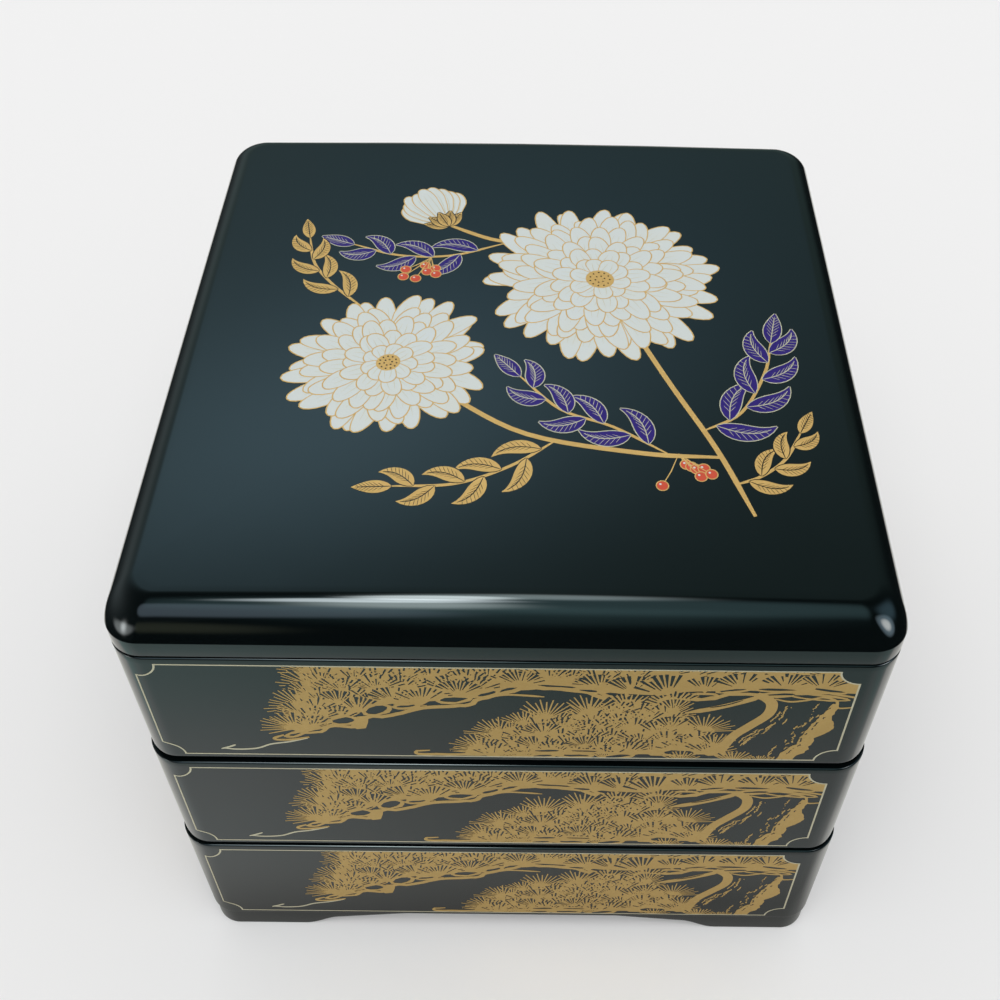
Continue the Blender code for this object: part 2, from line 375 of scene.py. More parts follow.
def tray_inside(floor_top):
    """Rings down the inside of a tray to the edge of its flat floor."""
    low = HALF - WALL - WALL_DRAFT
    fillet = []
    for angle in quarter_turn(FILLET_STEPS):
        half = low - INNER_FILLET * (1 - cos(angle))
        z = floor_top + INNER_FILLET * (1 - sin(angle))
        fillet.append((half, parallel_radius(low), z, 0.0))
    return fillet


def tray_rings(tier):
    """Rings of a tray: its stacking step, if it has one, its wall and its inside."""
    rim = RIMS[tier]
    underside = UNDERSIDES[tier]
    if tier == "bottom_tier":
        return parallel(outer_wall(rim)) + tray_inside(FOOT_HEIGHT + FLOOR)
    seat = underside + NECK_DEPTH + CONTACT_GAP
    neck = HALF - WALL_DRAFT - NECK_INSET
    step = bend(SPIGOT - EDGE_RADIUS, underside + EDGE_RADIUS, EDGE_RADIUS, -90, 0)
    step += [(SPIGOT, seat), (neck, seat), (neck, rim - WALL_HEIGHT)]
    return parallel(step + outer_wall(rim)) + tray_inside(underside + FLOOR)


def arch_height(along):
    """Height of the opening between two feet at a distance from the middle of a side."""
    if along >= ARCH_FOOT_START:
        return 0.0
    ramp_end = ARCH_FOOT_START - ARCH_RAMP
    if along >= ramp_end:
        share = (ARCH_FOOT_START - along) / ARCH_RAMP
        return ARCH_RAMP_RISE * (1 - cos(pi * share)) / 2
    share = min((ramp_end - along) / (ramp_end - ARCH_TOP_START), 1.0)
    return ARCH_RAMP_RISE + (FOOT_HEIGHT - ARCH_RAMP_RISE) * share


def foot_band(name):
    """The band whose lower edge rises between the corners and leaves four feet."""
    outer = HALF - WALL_DRAFT - FOOT_INSET
    inner = outer - FOOT_WALL
    reach = outer - parallel_radius(outer)
    roll = EDGE_RADIUS
    top = FOOT_HEIGHT + FLOOR / 2  # inside the tray's floor
    highest = FOOT_HEIGHT + FLOOR / 4
    side = [ARCH_FOOT_START * (1 - 2 * step / FOOT_STEPS) for step in range(FOOT_STEPS + 1)]
    rises = [0.0] * (CORNER_STEPS + 1) + [arch_height(abs(along)) for along in side]
    lower = [(inner, 0.0)] + bend(outer - roll, roll, roll, -90, 0)
    profile = [(half, z, highest) for half, z in lower]
    mesh = bmesh.new()
    loops = []
    for half, lift, limit in profile + [(outer, top, top), (inner, top, top)]:
        straight = [Vector((along, half)) for along in side]
        points = all_round(corner_arc(reach, half - reach) + straight)
        heights = [min(rise + lift, limit) for rise in rises] * 4
        loops.append([mesh.verts.new((*point, z)) for point, z in zip(points, heights)])
    skin(mesh, loops + loops[:1])
    return finish_mesh(name, mesh)


def join_solids(thing, other):
    """Joins another solid to a piece with a Boolean, applies it, and removes the other."""
    union = thing.modifiers.new("union", "BOOLEAN")
    union.operation = "UNION"
    union.solver = "EXACT"
    union.object = other
    graph = bpy.context.evaluated_depsgraph_get()
    data = bpy.data.meshes.new_from_object(thing.evaluated_get(graph))
    thing.modifiers.clear()
    thing.data = data
    shade(data)
    bpy.data.objects.remove(other)


def dome_rise(x, y):
    """Rise of the lid's top above its corners: all of DOME in the middle, half at mid-side."""
    return DOME * (1 - ((x / TOP_HALF) ** 2 + (y / TOP_HALF) ** 2) / 2)


def lid_top(x, y):
    return LID_HIGH - DOME + dome_rise(x, y)


def shoulder(half, width, base, height, radius, top_radius, foot, steps):
    """Rings up a quarter-ellipse shoulder from its foot angle to the dome."""
    rings = []
    for step in range(steps + 1):
        angle = foot + (pi / 2 - foot) * step / steps
        inward = 1 - cos(angle) / cos(foot)
        rise = (sin(angle) - sin(foot)) / (1 - sin(foot))
        ring_radius = radius + (top_radius - radius) * inward
        rings.append((half - width * inward, ring_radius, base + height * rise, rise))
    return rings


def lid_rings():
    """Rings of the lid: down inside it, under its ring, and up over its skirt and shoulder."""
    rim_below = LID_LOW + LID_RING_DEPTH
    seat = rim_below + CONTACT_GAP
    skirt = rim_below + SEAM_UNDER_LID
    skirt_top = skirt + SKIRT_HEIGHT
    top = LID_HIGH - DOME
    ceiling = top - LID_WALL
    ring_inner = SPIGOT - LID_RING_WALL
    neck = HALF - NECK_INSET
    inner_base = skirt_top - LID_WALL / 2
    inner_width = PILLOW_WIDTH - (HALF - ring_inner - LID_WALL)
    inner_radius = PILLOW_TOP_RADIUS - LID_WALL
    roll = EDGE_RADIUS

    shares = reversed(TOP_SHARES)
    rings = [(TOP_HALF * share, inner_radius * share, ceiling, 1.0) for share in shares]
    rings += reversed(shoulder(
        ring_inner, inner_width, inner_base, ceiling - inner_base,
        LID_RING_RADIUS, inner_radius, 0.0, CEILING_STEPS,
    ))
    rings.append((ring_inner, LID_RING_RADIUS, LID_LOW, 0.0))
    step = [(SPIGOT, LID_LOW), (SPIGOT, seat), (neck, seat), (neck, skirt)]
    step += bend(HALF - roll, skirt + roll, roll, -90, 0)
    rings += parallel(step + bend(HALF - roll, skirt_top - roll, roll, 0, 90 - SKIRT_ROLL))
    half, _, base, _ = rings[-1]
    rings += shoulder(
        half, PILLOW_WIDTH - HALF + half, base, top - base,
        CORNER_RADIUS, PILLOW_TOP_RADIUS, PILLOW_FOOT, PILLOW_STEPS,
    )[1:]
    rings += [(TOP_HALF * share, PILLOW_TOP_RADIUS * share, top, 1.0) for share in TOP_SHARES]
    return rings


def lacquered(thing, node, material):
    """Puts a lacquered piece in the place of its CAD node."""
    thing.data.materials.clear()
    thing.data.materials.append(material)
    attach(thing, ROOT)
    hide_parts(node)


# --- Flat drawings ---


def anticlockwise(points):
    points = [Vector(point) for point in points]
    area = sum(a.cross(b) for a, b in zip(points, points[1:] + points[:1]))
    return points if area > 0 else points[::-1]


class Drawing:
    """A pile of flat inked shapes in millimetres. A later shape covers an earlier one."""

    def __init__(self, seed):
        self.shapes = []
        self.chance = random.Random(seed)

    def add(self, ink, points):
        self.shapes.append((ink, anticlockwise(points)))

    def line(self, ink, points, width, tip):
        """A smooth line through the points."""
        self.add(ink, stroke(smooth_path(points), width, tip))

    def rough(self, points, amount):
        """The points, each moved a little."""
        move = self.chance.uniform
        return [point + Vector([move(-amount, amount) for _ in "xy"]) for point in points]

    def flatten(self, window):
        """Cuts the pile to a window, with no overlaps: corners and {ink: triangles}."""
        points = []
        faces = []
        for _, outline in self.shapes + [("window", anticlockwise(window))]:
            start = len(points)
            points += outline
            faces.append(list(range(start, len(points))))
        inside = len(self.shapes)
        cut = delaunay_2d_cdt(points, [], faces, 1, CUT_TOLERANCE, True)
        corners, triangles, origins = cut[0], cut[2], cut[5]
        regions = {}
        for triangle, origin in zip(triangles, origins):
            covers = [index for index in origin if index < inside]
            if inside not in origin or not covers:
                continue
            ink = self.shapes[max(covers)][0]
            if ink != BARE:
                regions.setdefault(ink, []).append(triangle)
        return corners, regions


def towards(turn, length=1.0):
    """A vector in the given direction, in degrees anticlockwise from +X."""
    angle = radians(turn)
    return Vector((cos(angle), sin(angle))) * length


def smooth_path(points, steps=6):
    """Points along a smooth curve through the given points."""
    points = [Vector(point) for point in points]
    ends = [2 * points[0] - points[1], *points, 2 * points[-1] - points[-2]]
    path = []
    for a, b, c, d in zip(ends, ends[1:], ends[2:], ends[3:]):
        for step in range(steps):
            t = step / steps
            bend_in = (2 * a - 5 * b + 4 * c - d) * t * t
            bend_out = (3 * b - 3 * c + d - a) * t * t * t
            path.append(b + ((c - a) * t + bend_in + bend_out) / 2)
    return path + [points[-1]]


def ribbon(path, half):
    """Outline of a band along a path. Half gives its half width for shares 0 to 1 of the path."""
    sides = ([], [])
    last = len(path) - 1
    for i, point in enumerate(path):
        along = path[min(i + 1, last)] - path[max(i - 1, 0)]
        out = along.normalized().orthogonal() * half(i / last)
        sides[0].append(point + out)
        sides[1].append(point - out)
    return sides[0] + sides[1][::-1]


def stroke(path, width, tip):
    """Outline of a drawn line that thins towards both ends."""

    def half(share):
        return width / 2 * (tip + (1 - tip) * min(1.0, 6 * share, 6 * (1 - share)))

    return ribbon(path, half)


def oval(centre, wide, high, turn=0.0, sides=14):
    spin = Matrix.Rotation(radians(turn), 2)
    angles = [2 * pi * side / sides for side in range(sides)]
    points = [Vector((wide * cos(angle), high * sin(angle))) for angle in angles]
    return [Vector(centre) + spin @ point for point in points]


# --- Pine panels ---
# In millimetres from the frame's top left corner, so a height below its top line is negative.


def frame_outline(inset):
    """A panel's outline, clockwise, with a scooped corner where each two sides meet."""
    radius = FRAME_NOTCH + inset
    reach = degrees(asin(inset / radius))
    corners = ((0, 0), (FRAME_WIDTH, 0), (FRAME_WIDTH, -FRAME_HEIGHT), (0, -FRAME_HEIGHT))
    arcs = []
    for quarter, corner in enumerate(corners):
        arc = []
        for step in range(FRAME_ARC_STEPS + 1):
            turn = reach - 90 + (90 - 2 * reach) * step / FRAME_ARC_STEPS
            arc.append(Vector(corner) + towards(turn - 90 * quarter, radius))
        arcs.append(arc)
    points = []
    for arc, after, length in zip(arcs, arcs[1:] + arcs[:1], (FRAME_WIDTH, FRAME_HEIGHT) * 2):
        points += arc
        stops = round(length)
        points += [arc[-1].lerp(after[0], stop / stops) for stop in range(1, stops)]
    return points


def framed(art):
    """Draws the frame, and cuts the picture off at its outer edge."""
    outer = frame_outline(-FRAME_LINE / 2)
    inner = frame_outline(FRAME_LINE / 2)
    for i, point in enumerate(outer):
        j = (i + 1) % len(outer)
        art.add(PALE_GOLD, (point, outer[j], inner[j], inner[i]))
    return art.flatten(outer)


def needles(
    art, root, aim, length=NEEDLE, spread=FAN_SPREAD, closed=CLOSED, slits=SLITS, widest=SPECK,
):
    """A fan of pine needles on a solid root, with dark slits between some of them.

    Closed is the share of its length that is solid, slits how many there are for each gap between
    needles, and widest the half width of the widest.
    """
    chance = art.chance
    root = Vector(root)
    count = max(FEWEST_NEEDLES, round(spread / NEEDLE_STEP))
    even = [aim + spread * ((i + 0.5) / count - 0.5) for i in range(count)]
    turns = [turn + chance.uniform(*NEEDLE_SWAY) for turn in even]
    lengths = [length * chance.uniform(*NEEDLE_LENGTHS) for _ in turns]
    points = [root - towards(aim, FAN_ROOT)]
    gaps = []
    for i, (turn, reach) in enumerate(zip(turns, lengths)):
        tip = root + towards(turn, reach)
        side = towards(turn - 90, NEEDLE_TIP / 2)
        points += [tip + side, tip - side]
        if i + 1 < count:
            between = (turn + turns[i + 1]) / 2
            solid = closed * chance.uniform(*CLOSED_RANGE)
            points.append(root + towards(between, solid * min(reach, lengths[i + 1])))
            gaps.append((between, radians(turns[i + 1] - turn)))
    art.add(GOLD, points)
    for _ in range(round(slits * len(gaps))):
        between, wedge = chance.choice(gaps)
        start = length * chance.uniform(closed, SLIT_LIMITS[0])
        end = min(start + chance.uniform(*SLIT_LENGTHS) * widest, length * SLIT_LIMITS[1])
        slit(art, root, between, wedge, start, end, widest)


def slit(art, root, turn, wedge, start, end, widest):
    """A dark slit between two needles, from one distance to another from their root."""
    side = towards(turn - 90)
    outline = []
    for reach, way in ((start, 1), (end, 1), (end, -1), (start, -1)):
        half = min(widest, max(NARROWEST, (reach * wedge - NEEDLE_WIDTH) / 2))
        outline.append(root + towards(turn, reach) + side * half * way)
    art.add(BARE, outline)


def fan_rows(art, rows):
    """Fans side by side along each (start, end, height), mostly closed."""
    chance = art.chance
    for start, end, height in rows:
        count = max(1, round((end - start) / ROW_SPACING))
        order = list(range(count + 1))
        chance.shuffle(order)
        for i in order:
            along = start + (end - start) * i / count + chance.uniform(*ROW_SHIFT)
            place = (along, height + chance.uniform(*ROW_LIFT))
            aim = 90 + chance.uniform(*ROW_LEAN)
            closed = chance.uniform(*ROW_CLOSED)
            needles(art, place, aim, closed=closed, slits=chance.uniform(*ROW_SLITS))


def open_fans(art, fans):
    """Fans with long free needles, from (x, y, aim, spread, length)."""
    for x, y, aim, spread, length in fans:
        needles(art, (x, y), aim, length, spread, OPEN_CLOSED, OPEN_SLITS, GAP)


def branch(art, points, width, hollows):
    """A gnarled branch: a wavy gold band, and hollows with a thick gold rim.

    Each hollow is the x and y of its middle, its half length, half width and turn.
    """
    art.add(GOLD, stroke(art.rough(smooth_path(points, 3), WAVE), width, 0.5))
    for ink, rim_wide, rim_high, sides in ((GOLD, *HOLLOW_RIM, 11), (BARE, 0.0, 0.0, 9)):
        for x, y, wide, high, turn in hollows:
            outline = oval((x, y), wide + rim_wide, high + rim_high, turn, sides)
            art.add(ink, art.rough(outline, min(WAVE, 0.4 * high)))


def bark(art, ink, edge, reach, count):
    """Broken lines of bark up to a distance to the left of an edge, or to the right if negative."""
    chance = art.chance
    path = smooth_path(edge, 12)
    last_start = len(path) - 1 - max(BARK_STEPS)
    for i in range(count):
        start = int((i + chance.random()) / count * last_start)
        steps = chance.choice(BARK_STEPS)
        offset = reach * chance.uniform(0.1, 1.0)
        line = []
        for a, b in zip(path[start:start + steps], path[start + 1:]):
            out = (b - a).normalized().orthogonal()
            line.append(a + out * (offset + chance.uniform(*BARK_WAVE)))
        art.add(ink, stroke(line, chance.uniform(*BARK_WIDTHS), 0.6))


def pine_front():
    """The front picture: a crown along the top, a lower clump, and a trunk at the right."""
    art = Drawing(FRONT_SEED)
    draw_crown(art)
    draw_clump(art)
    draw_trunk(art)
    return framed(art)


def draw_crown(art):
    """The needles and branch along the frame's top line, and the hooked twig at its left end."""
    art.add(GOLD, (
        (43, 1), (40, -5), (39, -10), (38, -15), (38, -21), (36, -26), (35, -31), (38, -33),
        (44, -30), (49, -25), (57, -19), (64, -17), (72, -16), (84, -14), (92, -9), (104, -8),
        (118, -11), (131, -12), (136, -10), (150, -9), (180, -10), (180, 1),
    ))
    fan_rows(art, (
        (46, 178, -3), (46, 122, -7.5), (45, 84, -12), (44, 70, -17), (43, 56, -21), (41, 47, -26),
        (38, 42, -30),
    ))
    open_fans(art, (
        (43.5, -3, 140, 90, 8), (43, -9, 145, 105, 9), (42, -14, 135, 80, 7.5),
        (39.5, -19.5, 145, 110, 9.5), (39, -24, 140, 70, 7.5), (36.5, -30.5, 142, 125, 9),
        (53.5, -22, 85, 90, 8), (49, -18, 95, 90, 7), (63, -16.5, 130, 80, 7.5),
        (79.5, -13, 90, 120, 7.5), (95, -8, 90, 120, 7), (115, -10, 90, 110, 8),
        (123, -11, 100, 100, 8.5), (132, -12.5, 115, 95, 11), (141, -10, 95, 90, 7.5),
        (150, -8.5, 105, 110, 8), (161, -8.5, 90, 130, 8), (170, -8.5, 85, 120, 8),
    ))
    branch(art, (
        (33, -35), (38, -33), (43, -32), (46, -29), (53, -29.5), (55, -24.5), (62, -23.5),
        (66, -21), (72, -19), (78, -18), (82, -17.5), (85, -14.5), (90, -12.5), (95, -9.5),
        (101, -9), (107, -10), (112, -11), (117, -14), (123, -15), (130, -15.5), (134, -13),
        (142, -13.5), (147, -11), (154, -11), (162, -10), (172, -10), (180, -12),
    ), 1.6, (
        (36, -33.6, 1.8, 0.5, 25), (49.5, -26.2, 3.0, 1.5, 8), (58.5, -20.6, 3.2, 1.7, 28),
        (66, -18.6, 2.6, 0.5, 12), (78, -15, 3.6, 1.2, 8), (86.5, -12, 2.6, 0.6, 25),
        (104, -8, 5, 0.5, -6), (112, -10, 2.4, 0.5, -6), (118.5, -11.5, 2.6, 0.7, -5),
        (129.5, -13, 2.6, 0.6, 30), (140, -12, 3.6, 0.7, 5), (148, -9, 3.4, 0.5, 12),
        (159, -8.4, 5, 0.5, -2), (172, -8.6, 4, 0.5, -12), (160, -10.8, 4, 0.5, 4),
        (170, -12.0, 7, 0.6, -8),
    ))
    knot = (
        (51, -28.6), (53, -26.5), (53, -24), (56, -23.6), (55.6, -27), (54.8, -30), (52.4, -30.6),
    )
    hook = ((16, -41.5), (20, -42), (25, -41.3), (29, -39), (34, -37.6), (39, -35.6))
    barb = ((19.5, -39.6), (17.5, -40.8), (15.4, -41.8))
    stub = ((39.5, -35), (35, -36.4), (31, -36.6), (30.4, -35.6), (33, -34))
    art.add(GOLD, knot)
    art.line(PALE_GOLD, hook, 0.7, 0.7)
    art.line(PALE_GOLD, barb, 0.7, 0.6)
    art.line(GOLD, stub, 1.0, 0.7)
    art.line(GOLD, ((86, -14), (91, -12.4), (96, -12.6), (101, -13.2)), 0.9, 0.5)


def draw_clump(art):
    """The lower clump of needles on its own branch, which ends in a barb at the left."""
    art.add(GOLD, (
        (80, -43), (83, -38), (87, -34), (91, -29), (97, -26), (104, -24), (111, -21), (117, -19),
        (121, -14), (134, -14), (136, -21), (142, -30), (146, -36), (149, -42),
    ))
    fan_rows(art, (
        (122, 132, -19), (112, 132, -23), (98, 134, -27.5), (92, 138, -32), (90, 142, -37),
        (86, 145, -41.5), (88, 124, -44.5),
    ))
    open_fans(art, (
        (84.5, -40, 148, 105, 8.5), (89.5, -32.5, 125, 115, 9), (96, -27.5, 115, 90, 7),
        (101.5, -24.5, 90, 110, 10), (112.5, -22, 90, 95, 10), (134, -20, 85, 90, 6.5),
        (101, -33, 100, 120, 7), (142.5, -29.5, 68, 145, 8.5), (134, -29, 90, 90, 7),
        (146, -38, 85, 110, 7), (112, -39, 110, 110, 6), (99, -40, 110, 90, 7),
    ))
    branch(art, (
        (71, -41.2), (67.6, -41.8), (67.8, -43.4), (76, -43.6), (88, -43.2), (98, -42),
        (106, -42.4), (114, -41.6), (122, -42), (130, -40.6), (136, -39), (141, -40.8),
        (150, -41.2),
    ), 1.3, (
        (102, -41, 3.4, 0.4, 3), (112, -41, 3.6, 0.4, 0), (110, -43.4, 3.6, 0.6, 0),
        (101, -43.8, 2.6, 0.4, 5), (121, -43.6, 3.4, 0.8, 10), (137, -41.2, 4, 1.2, -2),
    ))


def draw_trunk(art):
    """The spur, the trunk with its bark, and the strip of ground at the frame's right end."""
    art.line(GOLD, ((137, -20.4), (144, -18), (151, -14.5), (156, -11.5)), 2.0, 0.3)
    art.line(BARE, ((143, -17.6), (147, -16.2), (151, -13.8)), 0.5, 0.4)
    art.line(GOLD, (
        (154, -11), (157, -13), (158.6, -16), (158, -21), (154, -27), (150.6, -32), (148.6, -38),
        (148, -43),
    ), 3.0, 0.9)
    art.line(GOLD, (
        (159, -13), (163, -14.2), (167, -13.4), (171, -12), (174.5, -13.6), (175.5, -17),
        (179, -16.8),
    ), 0.8, 0.7)
    shore = (
        (163, -46), (165, -39.5), (167.5, -36), (168, -32), (169.5, -28), (170.5, -24), (172, -20),
        (174, -15),
    )
    art.add(GOLD, art.rough(smooth_path((
        *shore[::-1], (167.5, -46), (168.5, -42.5), (170.8, -39.5), (171.6, -35), (172.4, -32),
        (175.6, -29), (176.2, -26), (174.8, -22), (175.4, -18), (175, -15),
    ), 4), GROUND_WAVE))
    bark(art, GOLD, ((160.6, -16), (159.6, -22), (156, -28), (152.6, -33), (150.4, -41)), 4.2, 30)
    bark(art, GOLD, shore, 3.6, 26)
    bark(art, BARE, shore, -1.6, 12)
    for root, length in (((138, -46.5), 6), ((152, -46.5), 7), ((159, -46.5), 4.5)):
        needles(art, root, 90, length, 120)


def pine_side():
    """The plainer picture for the back and sides: one low spray in the right corner."""
    art = Drawing(SIDE_SEED)
    body = ((128, -41), (133, -34), (142, -29), (152, -26), (163, -29), (170, -36), (172, -42))
    art.add(GOLD, body)
    fan_rows(art, ((143, 160, -29), (136, 167, -34.5), (130, 171, -40.5)))
    branch(art, (
        (104, -38), (108, -41), (118, -40), (128, -42), (140, -40.5), (152, -42), (164, -41),
        (180, -43),
    ), 1.6, (
        (123, -40.6, 4, 0.8, -4), (137, -40.6, 4, 0.8, 3), (151, -41.2, 4, 0.7, -3),
        (166, -41.2, 5, 0.8, 2),
    ))
    return framed(art)


# --- Flower print on the lid ---
# In millimetres from the middle of the lid.


def petal_outline(base, aim, length, width, curl, grow=0.0):
    """Outline of a long petal with a round tip, bent by the curl angle."""

    def half(share):
        widening = min(1.0, PETAL_FOOT + PETAL_WIDENING * share)
        closing = max(0.0, (share - PETAL_SHOULDER) / (1 - PETAL_SHOULDER))
        return width / 2 * widening * sqrt(max(0.0, 1 - closing * closing)) + grow

    left, right = [], []
    for share in PETAL_STOPS:
        turn = aim + curl * share * share
        place = base + towards(turn, (length + grow) * share)
        side = towards(turn + 90, half(share))
        left.append(place + side)
        right.append(place - side)
    return left + right[::-1]


def petal(art, base, aim, length, width, curl):
    """One petal: an outline, a fill, and fine lines along it."""
    art.add(BRIGHT_GOLD, petal_outline(base, aim, length, width, curl, PETAL_LINE))
    art.add(PEARL, petal_outline(base, aim, length, width, curl))
    for vein in range(PETAL_VEINS):
        shift = (vein - (PETAL_VEINS - 1) / 2) * width / (PETAL_VEINS + 1.5)
        start = base + towards(aim + 90, shift * 0.4)
        path = []
        for share in VEIN_STOPS:
            turn = aim + curl * share * share
            bow = towards(turn + 90, shift * sin(pi * share))
            path.append(start + towards(turn, length * share) + bow)
        art.add(PALE_GOLD, stroke(path, VEIN_LINE, 0.3))


def bloom(art, centre, radius, rings, squash, tilt):
    """A chrysanthemum seen from above: rings of petals from the outside in, and a gold eye.

    Each ring is how many petals it has, and their length and width as shares of the radius.
    """
    chance = art.chance
    centre = Vector(centre)
    for count, outer, wide in rings:
        offset = chance.uniform(0, 360 / count)
        order = list(range(count))
        chance.shuffle(order)
        for i in order:
            aim = offset + 360 * i / count + chance.uniform(*BLOOM_SWAY)
            across = sin(radians(aim - tilt))
            reach = radius * outer * (1 - (1 - squash) * across * across)
            reach *= chance.uniform(*BLOOM_LENGTHS)
            petal(art, centre, aim, reach, radius * wide, chance.uniform(*BLOOM_CURL))
    art.add(BRIGHT_GOLD, oval(centre, radius * EYE, radius * EYE_HIGH, tilt, 18))
    for ring, count in ((0.35, 6), (0.75, 11)):
        for i in range(count):
            dot = centre + towards(360 * i / count + 40 * ring, radius * EYE_HIGH * ring)
            art.add(BARE, oval(dot, EYE_DOT, EYE_DOT, sides=6))


def leaf(art, base, aim, length, width, curl, inks):
    """A pointed leaf with a midrib and side veins, in the inks of its fill and its lines."""
    fill, edge = inks
    shares = [i / LEAF_STEPS for i in range(LEAF_STEPS + 1)]
    path = [base + towards(aim + curl * share * share, length * share) for share in shares]

    def half(share):
        return max(0.02, width / 2 * sin(pi * share ** 0.8) ** 0.9)

    art.add(edge, ribbon(path, lambda share: half(share) + LEAF_LINE))
    art.add(fill, ribbon(path, half))
    art.add(edge, stroke(path[:-1], LEAF_LINE, 0.4))
    for share, point in list(zip(shares, path))[2:-2]:
        turn = aim + curl * share ** 2
        for way in (-LEAF_VEIN_TURN, LEAF_VEIN_TURN):
            tip = point + towards(turn + way, half(share) * 1.15)
            art.add(edge, stroke([point, point.lerp(tip, 0.5), tip], VEIN_LINE, 0.5))


def twig(art, points, count, length, width, inks):
    """A thin stem with leaves by turns on its two sides and one at its end."""
    path = smooth_path(points)
    art.add(BRIGHT_GOLD, stroke(path, STEM_LINE, 0.5))
    headings = [degrees(atan2(*reversed(b - a))) for a, b in zip(path, path[1:])]
    for i in range(count):
        share = (i + 1) / (count + 1)
        index = round(share * len(headings))
        way = 1 if i % 2 else -1
        aim = headings[index] + LEAF_TURN * way
        leaf(art, path[index], aim, length * (1 - 0.3 * share), width, -LEAF_CURL * way, inks)
    leaf(art, path[-1], headings[-1], length * 0.75, width * 0.9, 0, inks)


def bud(art, base, aim, length):
    """A half-open flower seen from the side, in a gold cup."""
    base = Vector(base)
    last = BUD_PETALS - 1
    for i in sorted(range(BUD_PETALS), key=lambda i: -abs(i - last / 2)):
        share = i / last - 0.5
        reach = length * (1 - 0.7 * share * share) * art.chance.uniform(*BUD_LENGTHS)
        foot = base + towards(aim, 1.0)
        petal(art, foot, aim + BUD_SPREAD * share, reach, length * 0.26, -30 * share)
    for turn in BUD_CUP:
        foot = base - towards(aim, 1.0)
        leaf(art, foot, aim + turn, length * 0.42, length * 0.2, 0, (BRIGHT_GOLD, BARE))


def berries(art, base, aim):
    """A short stalk of round berries."""
    base = Vector(base)
    for i in range(BERRIES):
        stalk = towards(aim + art.chance.uniform(*BERRY_SWAY), 4 + 1.3 * i)
        end = base + stalk
        art.add(BRIGHT_GOLD, stroke([base, base + stalk / 2 + towards(aim, 0.5), end], 0.35, 0.6))
        art.add(BRIGHT_GOLD, oval(end, BERRY, BERRY))
        art.add(RED, oval(end, BERRY_FILL, BERRY_FILL))
        art.add(PEARL, oval(end + Vector((-0.5, 0.5)), BERRY_GLINT, BERRY_GLINT, sides=6))


def flower_print():
    """The lid's picture: two chrysanthemums, a half-open one, leaves and berries on gold stems."""
    art = Drawing(FLOWER_SEED)
    large, medium, small = (25, 22), (-35, -14), (-22, 47)
    for stem in (
        ((62, -66), (54, -44), (42, -18), large),
        ((55, -47), (34, -46), (4, -40), (-18, -26), medium),
        (large, (8, 36), (-8, 40), small),
    ):
        art.line(BRIGHT_GOLD, stem, 1.5, 0.6)
    for stem, leaves, length, width, inks in (
        (((51, -38), (62, -31), (70, -16), (73, -4)), 7, 17, 5.6, (VIOLET, PALE_GOLD)),
        (((41, -46), (27, -37), (13, -31), (2, -19)), 7, 15, 5.2, (VIOLET, PALE_GOLD)),
        (((-4, 38), (-20, 32), (-36, 32), (-50, 37)), 6, 15, 5.2, (VIOLET, PALE_GOLD)),
        (((12, -42), (0, -51), (-14, -57), (-30, -58)), 7, 14, 4.6, (BRIGHT_GOLD, BARE)),
        (((-44, 8), (-54, 18), (-61, 28), (-64, 40)), 6, 13, 4.4, (BRIGHT_GOLD, BARE)),
        (((58, -56), (65, -53), (72, -47), (77, -38)), 5, 12, 4.2, (BRIGHT_GOLD, BARE)),
    ):
        twig(art, stem, leaves, length, width, inks)
    berries(art, (44, -46), -75)
    berries(art, (-26, 31), 250)
    bud(art, small, 118, 19)
    bloom(art, medium, 29, (
        (26, 1.0, 0.2), (24, 0.84, 0.2), (20, 0.66, 0.19), (15, 0.46, 0.18), (9, 0.28, 0.16),
    ), 0.92, 30)
    bloom(art, large, 36, (
        (30, 1.0, 0.18), (28, 0.87, 0.18), (25, 0.73, 0.17), (21, 0.58, 0.17), (16, 0.42, 0.16),
        (10, 0.27, 0.15),
    ), 0.94, -20)
    edge = TOP_HALF / MM
    return art.flatten(((-edge, -edge), (edge, -edge), (edge, edge), (-edge, edge)))


# --- Prints on the box ---


def on_wall(rim, side):
    """Where a panel's points lie on one wall of a tray and round its corners."""
    turn = Matrix.Rotation(pi / 2 * side, 3, "Z")

    def place(x, y):
        along = (x - FRAME_WIDTH / 2 + FRAME_SHIFT) * MM
        z = rim - FRAME_DROP + y * MM
        reach = HALF - CORNER_RADIUS
        radius = parallel_radius(wall_half(z, rim)) + PRINT_RISE
        angle = max(0.0, abs(along) - reach) / CORNER_RADIUS
        across = min(abs(along), reach) + radius * sin(angle)
        return turn @ Vector((copysign(across, along), -reach - radius * cos(angle), z))

    return place


def on_lid(x, y):
    return Vector((x * MM, y * MM, lid_top(x * MM, y * MM) + PRINT_RISE))


def print_piece(name, corners, triangles, place, material, slot):
    """A thin layer of one ink, laid on the box by place, with its flat stretches tidied."""
    mesh = bmesh.new()
    verts = {}
    for triangle in triangles:
        for index in triangle:
            if index not in verts:
                verts[index] = mesh.verts.new(place(*corners[index]))
        mesh.faces.new([verts[index] for index in triangle])
    bmesh.ops.dissolve_limit(mesh, angle_limit=FLAT_ANGLE, verts=mesh.verts[:], edges=mesh.edges[:])
    bmesh.ops.triangulate(mesh, faces=mesh.faces[:])
    thing = add_mesh(name, mesh)
    thing.data.shade_smooth()
    thing.data.materials.append(material)
    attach(thing, ROOT)


